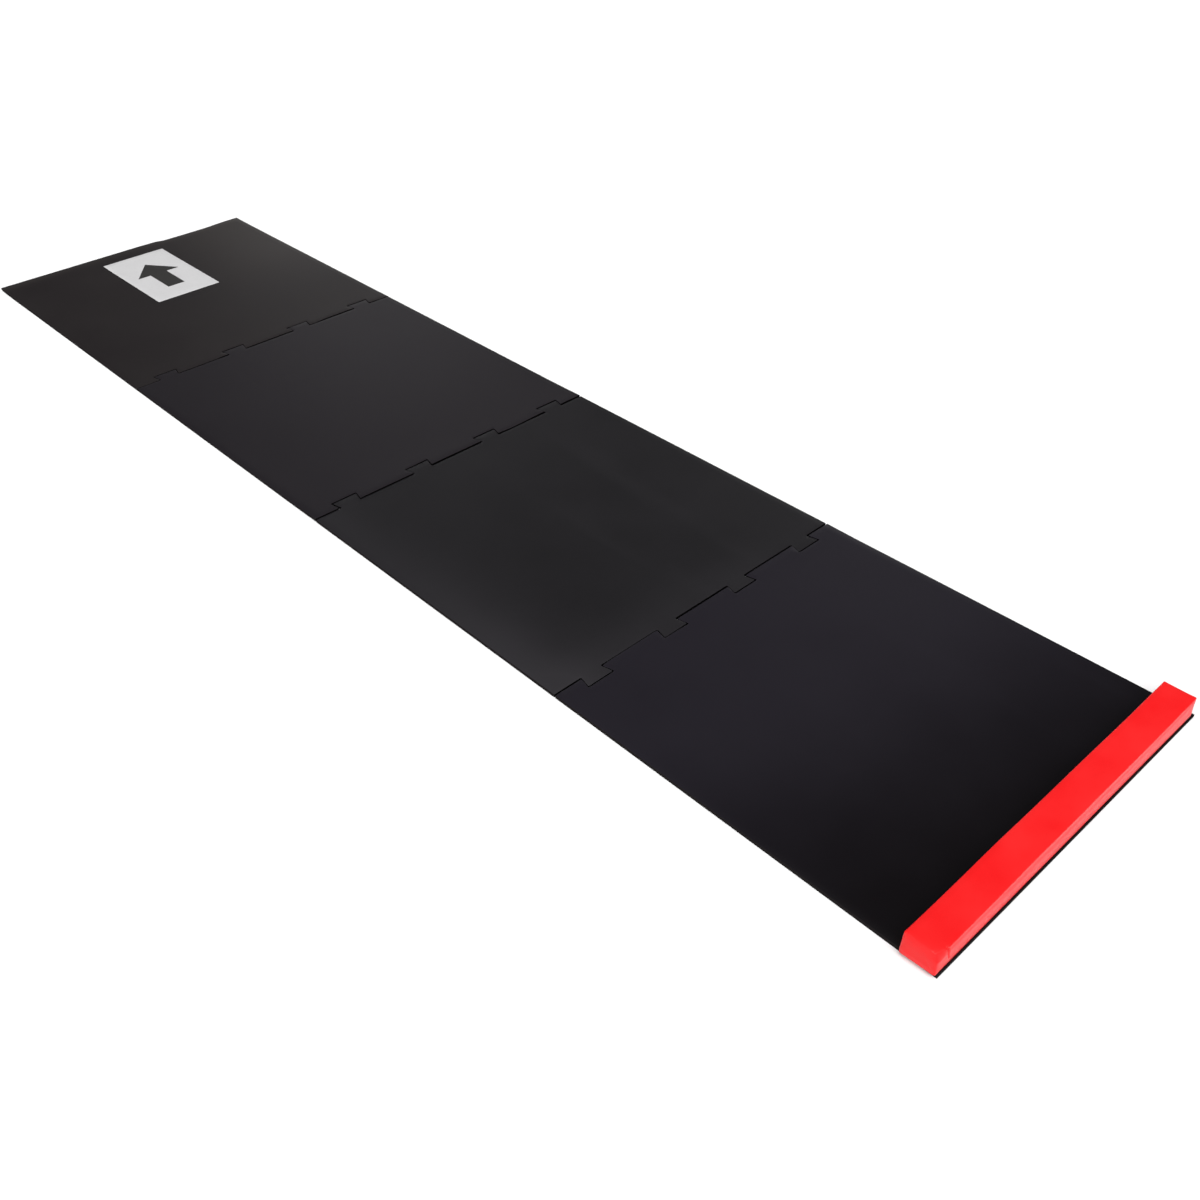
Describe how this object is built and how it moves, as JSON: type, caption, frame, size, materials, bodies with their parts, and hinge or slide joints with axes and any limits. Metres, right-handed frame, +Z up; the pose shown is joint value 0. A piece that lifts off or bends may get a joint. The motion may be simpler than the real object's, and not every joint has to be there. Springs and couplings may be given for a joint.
{
  "type": "jigsaw floor lane with raised end block",
  "caption": "Long thin floor lane of interlocking jigsaw rubber tiles, with a printed label panel at one end and a vinyl-covered foam block held across the other end by fastener strips.",
  "frame": {"origin": "the middle of the lane's underside, halfway along the lane and halfway across it, on the floor", "axes": "+Y runs along the lane from the end with the block to the end with the label, +X runs across it to the right as seen from the block, +Z points up"},
  "size_m": [0.6045, 2.5, 0.0393],
  "materials": {
    "tile_rubber": "satin black rubber with a fine grain",
    "label_vinyl": null,
    "cover_vinyl": "glossy red coated vinyl fabric",
    "foam": "open-cell cream foam",
    "fastener_strip": "black hook-and-loop tape"
  },
  "bodies": {
    "third_tile": {"third_tile": "tile_rubber"},
    "near_tile": {"near_tile": "tile_rubber", "hook_strip_left": "fastener_strip", "hook_strip_right": "fastener_strip"},
    "second_tile": {"second_tile": "tile_rubber"},
    "far_tile": {"far_tile": "tile_rubber", "label_panel": "label_vinyl"},
    "block": {"block_cover": "cover_vinyl", "block_core": "foam", "loop_strip_left": "fastener_strip", "loop_strip_right": "fastener_strip"}
  },
  "joints": [
    {"name": "near_tile_lift", "type": "slide", "parent": "third_tile", "child": "near_tile", "axis": [0, 0, 1], "range_m": [0, 0.06]},
    {"name": "second_tile_lift", "type": "slide", "parent": "third_tile", "child": "second_tile", "axis": [0, 0, 1], "range_m": [0, 0.06]},
    {"name": "far_tile_lift", "type": "slide", "parent": "second_tile", "child": "far_tile", "axis": [0, 0, 1], "range_m": [0, 0.06]},
    {"name": "block_lift", "type": "slide", "parent": "near_tile", "child": "block", "axis": [0, 0, 1], "range_m": [0, 0.06]}
  ]
}
